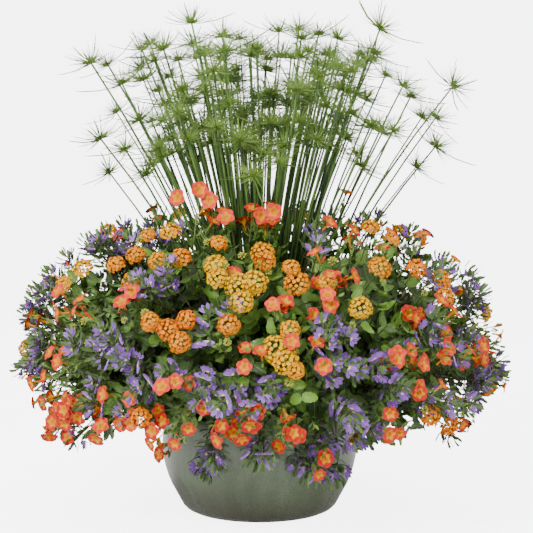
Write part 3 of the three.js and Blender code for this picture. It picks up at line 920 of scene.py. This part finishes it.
def plant_scaevola():
    leaf_green = leaf_finish("scaevola_leaf", (0.035, 0.070, 0.016, 1), (0.14, 0.25, 0.05, 1),
                             (0.20, 0.32, 0.10, 1), 0.45, 40.0)
    stem_brown = stem_finish("scaevola_stem", (0.055, 0.020, 0.014, 1), (0.105, 0.060, 0.030, 1))
    leaf_forms = [
        blade(0.030, [1.6 * MM, 3.4 * MM, 3.4 * MM], 0.2, 0.14),
        blade(0.030, [1.2 * MM, 2.8 * MM, 3.6 * MM], 0.1, 0.2),
    ]
    petal = blade(0.0160, [1.3 * MM, 2.5 * MM, 3.0 * MM, 2.1 * MM], 0.2, 0.10, 0.3 * MM)
    leaves = Growth("scaevola_leaves", leaf_green, "scaevola_green")
    petals = Growth("scaevola_petals", fan_finish(), "scaevola_violet")
    twigs = []

    def fan(at, way, open_face, size):
        """Five petals spread in a half circle, in the plane across the face of the flower."""
        tone = min(max(rng.gauss(0.5, 0.25), 0), 1)
        side = way.cross(open_face).normalized()
        for i in range(5):
            turn = math.radians(-66 + 33 * i + rng.uniform(-5, 5))
            y = (way * math.cos(turn) + side * math.sin(turn)).normalized()
            z = (open_face + y * -0.25).normalized()
            x = y.cross(z).normalized()
            z = x.cross(y)
            place = Matrix.Translation(at) @ (Matrix((x, y, z)).transposed() * size).to_4x4()
            petals.add(petal, place, tone)

    spots = [(a, e, True) for a, e in scattered(SCAEVOLA_PATCHES)]
    spots += [(a, e, rng.random() < 0.8) for a, e in round_the_back(90, -38, 70)]
    spots += [(a, e, False) for a, e in round_the_back(30, -30, 40)]
    places = []
    for azimuth, elevation, flowering in spots:
        tip, face = mound(azimuth, elevation, min(rng.gauss(0.010, 0.013), 0.022))
        places.append((azimuth, tip, face, wobble(way_at(elevation, face, 0.15), 0.16), flowering))
    for x, z in HANGING:
        azimuth = math.degrees(math.atan2(x, 0.2))
        tip = Vector((x, -math.sqrt(0.208 ** 2 - x * x), z))
        face = Vector((x * 2, -1, 0.25)).normalized()
        for _ in range(2):
            spot = tip + Vector((rng.gauss(0, 0.010), 0, rng.gauss(0, 0.008)))
            way = wobble(Vector((x, -0.35, -0.6)).normalized(), 0.25)
            places.append((azimuth, spot, face, way, True))
    for azimuth, tip, face, way, flowering in places:
        points = shoot_path("scaevola", azimuth, tip, way)
        twigs.append(tapered(points, 1.7 * MM, 0.9 * MM))
        spiral(leaves, leaf_forms, points, 0.0, 14, 0.0022, 0.6, 1.0, (0.25, 1.25))
        # These lower leaves, inside the mound, take a darker tint as painted shade.
        spiral(leaves, leaf_forms, points, 0.034, 8, 0.013, 0.7, 0.9, (0.9, 1.2), 0.2)
        if flowering:
            roll = rng.uniform(0, 6)
            for i in range(rng.choice([2, 3, 3, 4])):
                at, along = at_length(points, 0.014 + 0.006 * i)
                roll += GOLDEN
                turned = grown(at, along, roll, 1.15).to_3x3()
                out = (turned @ Vector((0, 1, 0)) + face * 0.35).normalized()
                look = (face + along * 0.5 - out * 0.15).normalized()
                petal_at = at + out * rng.uniform(0.010, 0.017)
                fan(petal_at, out, look, rng.uniform(0.85, 1.12))
    stems("scaevola_stems", twigs, stem_brown)
    leaves.build(nodes_like("scaevola_shoot"), 30)
    petals.build([])


# ---------------------------------------------------------------- bowl and mix
def spin_profile(profile, steps=96):
    """A closed turned form: the profile drawn as edges by extruding a point, then spun."""
    deselect()
    bpy.ops.mesh.primitive_plane_add(size=1)
    bpy.ops.object.mode_set(mode="EDIT")
    bpy.ops.mesh.merge(type="CENTER")
    mesh = bmesh.from_edit_mesh(bpy.context.object.data)
    mesh.verts.ensure_lookup_table()
    mesh.verts[0].co = (profile[0][0], 0, profile[0][1])
    mesh.verts[0].select = True
    mesh.select_flush_mode()
    bmesh.update_edit_mesh(bpy.context.object.data)
    for (r0, z0), (r1, z1) in zip(profile, profile[1:]):
        bpy.ops.mesh.extrude_region_move(TRANSFORM_OT_translate={"value": (r1 - r0, 0, z1 - z0)})
    bpy.ops.mesh.select_all(action="SELECT")
    bpy.ops.mesh.spin(steps=steps, angle=2 * math.pi, center=(0, 0, 0), axis=(0, 0, 1))
    bpy.ops.mesh.select_all(action="SELECT")
    bpy.ops.mesh.remove_doubles(threshold=1e-5)
    bpy.ops.mesh.normals_make_consistent(inside=False)
    bpy.ops.object.mode_set(mode="OBJECT")
    return bpy.context.object


def make_bowl():
    outside = [(0, 0), (118, 0), (126, 1.2), (134, 5), (140, 11), (145, 20), (153, 35), (161, 50), (167, 65),
               (172, 82), (175.5, 98), (177, 116), (176, 138), (173.5, 162), (172.5, 176), (171, 181),
               (168, 183.6), (165, 183), (163, 180)]
    inside = [(162, 174), (165.5, 150), (167.5, 120), (165.5, 100), (160, 75), (150, 50), (138, 25),
              (126, 13), (0, 12)]
    bowl = spin_profile([(r * MM, z * MM) for r, z in outside + inside])
    bowl.name = "glazed_bowl"
    deselect()
    cutters = []
    for i in range(3):
        turn = math.radians(60 + 120 * i)
        bpy.ops.mesh.primitive_cylinder_add(vertices=32, radius=0.007, depth=0.04,
                                            location=(0.048 * math.sin(turn), -0.048 * math.cos(turn), 0.006))
        cutters.append(bpy.context.object)
    for cutter in cutters:
        deselect()
        bowl.select_set(True)
        bpy.context.view_layer.objects.active = bowl
        cut = bowl.modifiers.new("drain_hole", "BOOLEAN")
        cut.operation = "DIFFERENCE"
        cut.object = cutter
        bpy.ops.object.modifier_apply(modifier=cut.name)
        bpy.data.objects.remove(cutter, do_unlink=True)
    bowl.data.materials.clear()
    bowl.data.materials.append(glaze_finish())
    bowl.select_set(True)
    bpy.ops.object.shade_smooth_by_angle(angle=math.radians(40))
    settle(bowl, ["bowl"])


def make_mix():
    """The mix with its crumbled top, and crumbs of bark lying on it."""
    top = [(r, 158 + 1.5 * math.sin(r * 0.12)) for r in range(160, 0, -8)]
    body = spin_profile([(r * MM, z * MM) for r, z in [
        (0, 12.6), (125.4, 13.6), (137.4, 25.6), (149.4, 50.4), (159.4, 75.4), (164.9, 100.4), (166.9, 120),
        (164.9, 148), (163.8, 156)] + top + [(0, 158)]], 64)
    body.name = "potting_mix_fill"
    heap = random.Random(5)
    for vert in body.data.vertices:
        if vert.co.z > 0.154 and vert.co.xy.length < 0.16:
            vert.co.z += heap.uniform(-1.6, 1.6) * MM
    body.data.materials.clear()
    body.data.materials.append(mix_finish("mix", (0.018, 0.011, 0.007, 1), (0.085, 0.055, 0.035, 1)))
    settle(body, ["potting_mix"])
    crumb = mix_finish("bark", (0.035, 0.020, 0.012, 1), (0.16, 0.10, 0.06, 1))
    bark = Growth("bark_crumbs", crumb, "potting_mix")
    chip = spindle(0.009, 0.0026, 5, 4)
    crumbs = 420
    for i in range(crumbs):
        turn = i * GOLDEN
        out = 0.158 * math.sqrt((i + 0.5) / crumbs)
        spot = Vector((out * math.cos(turn), out * math.sin(turn), 0.1605))
        lying = Vector((heap.gauss(0, 1), heap.gauss(0, 1), 0.15)).normalized()
        bark.add(chip, facing(spot, lying, 0.0, heap.uniform(0.5, 1.3)), 0.5)
    bark.build([], smooth=0)
    roots = mix_finish("root_mat", (0.05, 0.03, 0.018, 1), (0.20, 0.14, 0.09, 1))
    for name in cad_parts:
        if name.endswith("root_ball"):
            slots = bpy.data.objects[name].material_slots
            for slot in slots:
                slot.material = roots


# ---------------------------------------------------------------- studio
SKY_LIGHT = 0.92
BACKDROP = 6.0
AIM_HEIGHT = 0.44


def seen_by_camera(tree, lit, seen):
    """Mix two shaders so that the lens sees the second and the plants are lit by the first."""
    path = tree.nodes.new("ShaderNodeLightPath")
    mix = tree.nodes.new("ShaderNodeMixShader")
    tree.links.new(path.outputs["Is Camera Ray"], mix.inputs[0])
    tree.links.new(lit, mix.inputs[1])
    tree.links.new(seen, mix.inputs[2])
    return mix.outputs[0]


def paint_backdrop(world):
    tree = world.node_tree
    light = tree.nodes["Background"]
    light.inputs[0].default_value = (1, 1, 1, 1)
    light.inputs[1].default_value = SKY_LIGHT
    white = tree.nodes.new("ShaderNodeBackground")
    white.inputs[0].default_value = (1, 1, 1, 1)
    white.inputs[1].default_value = BACKDROP
    both = seen_by_camera(tree, light.outputs[0], white.outputs[0])
    tree.links.new(both, tree.nodes["World Output"].inputs["Surface"])


def floor_finish():
    """A white floor that the lens sees as bright as the backdrop, with the pot's soft shadow on it."""
    f = Finish("floor")
    tone = f.mix(f.noise(1.5) * 0.2, (0.90, 0.90, 0.90, 1), (0.93, 0.93, 0.93, 1))
    matt = f.node("ShaderNodeBsdfDiffuse", None, {"Color": tone})
    glow = f.node("ShaderNodeEmission", None, {"Color": (1, 1, 1, 1), "Strength": BACKDROP - SKY_LIGHT})
    bright = f.node("ShaderNodeAddShader", None, [matt, glow])
    out = f.tree.nodes.new("ShaderNodeOutputMaterial")
    f.tree.links.new(seen_by_camera(f.tree, matt.socket, bright.socket), out.inputs["Surface"])
    return f.material


def make_studio():
    world = bpy.data.worlds.new("studio")
    bpy.context.scene.world = world
    world.use_nodes = True
    paint_backdrop(world)
    deselect()
    bpy.ops.mesh.primitive_plane_add(size=14, location=(0, 0, 0))
    floor = bpy.context.object
    floor.name = "studio_floor"
    floor.data.materials.append(floor_finish())
    for place, size, power in (((-1.6, -2.6, 2.3), 1.0, 185), ((1.9, -2.2, 1.7), 1.6, 50),
                               ((0.0, 1.6, 2.6), 1.8, 34)):
        lamp = bpy.data.lights.new("softbox", "AREA")
        lamp.size = size
        lamp.energy = power
        box = bpy.data.objects.new("softbox", lamp)
        bpy.context.scene.collection.objects.link(box)
        box.location = place
        box.rotation_euler = (Vector((0, 0, 0.4)) - Vector(place)).to_track_quat("-Z", "Y").to_euler()
    lens = bpy.data.cameras.new("camera")
    lens.lens = 109
    camera = bpy.data.objects.new("camera", lens)
    bpy.context.scene.collection.objects.link(camera)
    eye = Vector((EYE_SIDE, -EYE_DISTANCE, EYE_HEIGHT))
    camera.location = eye
    camera.rotation_euler = (Vector((EYE_SIDE, 0, AIM_HEIGHT)) - eye).to_track_quat("-Z", "Y").to_euler()
    bpy.context.scene.camera = camera


make_studio()
make_bowl()
make_mix()
plant_papyrus()
plant_lantana()
plant_calibrachoa()
plant_scaevola()
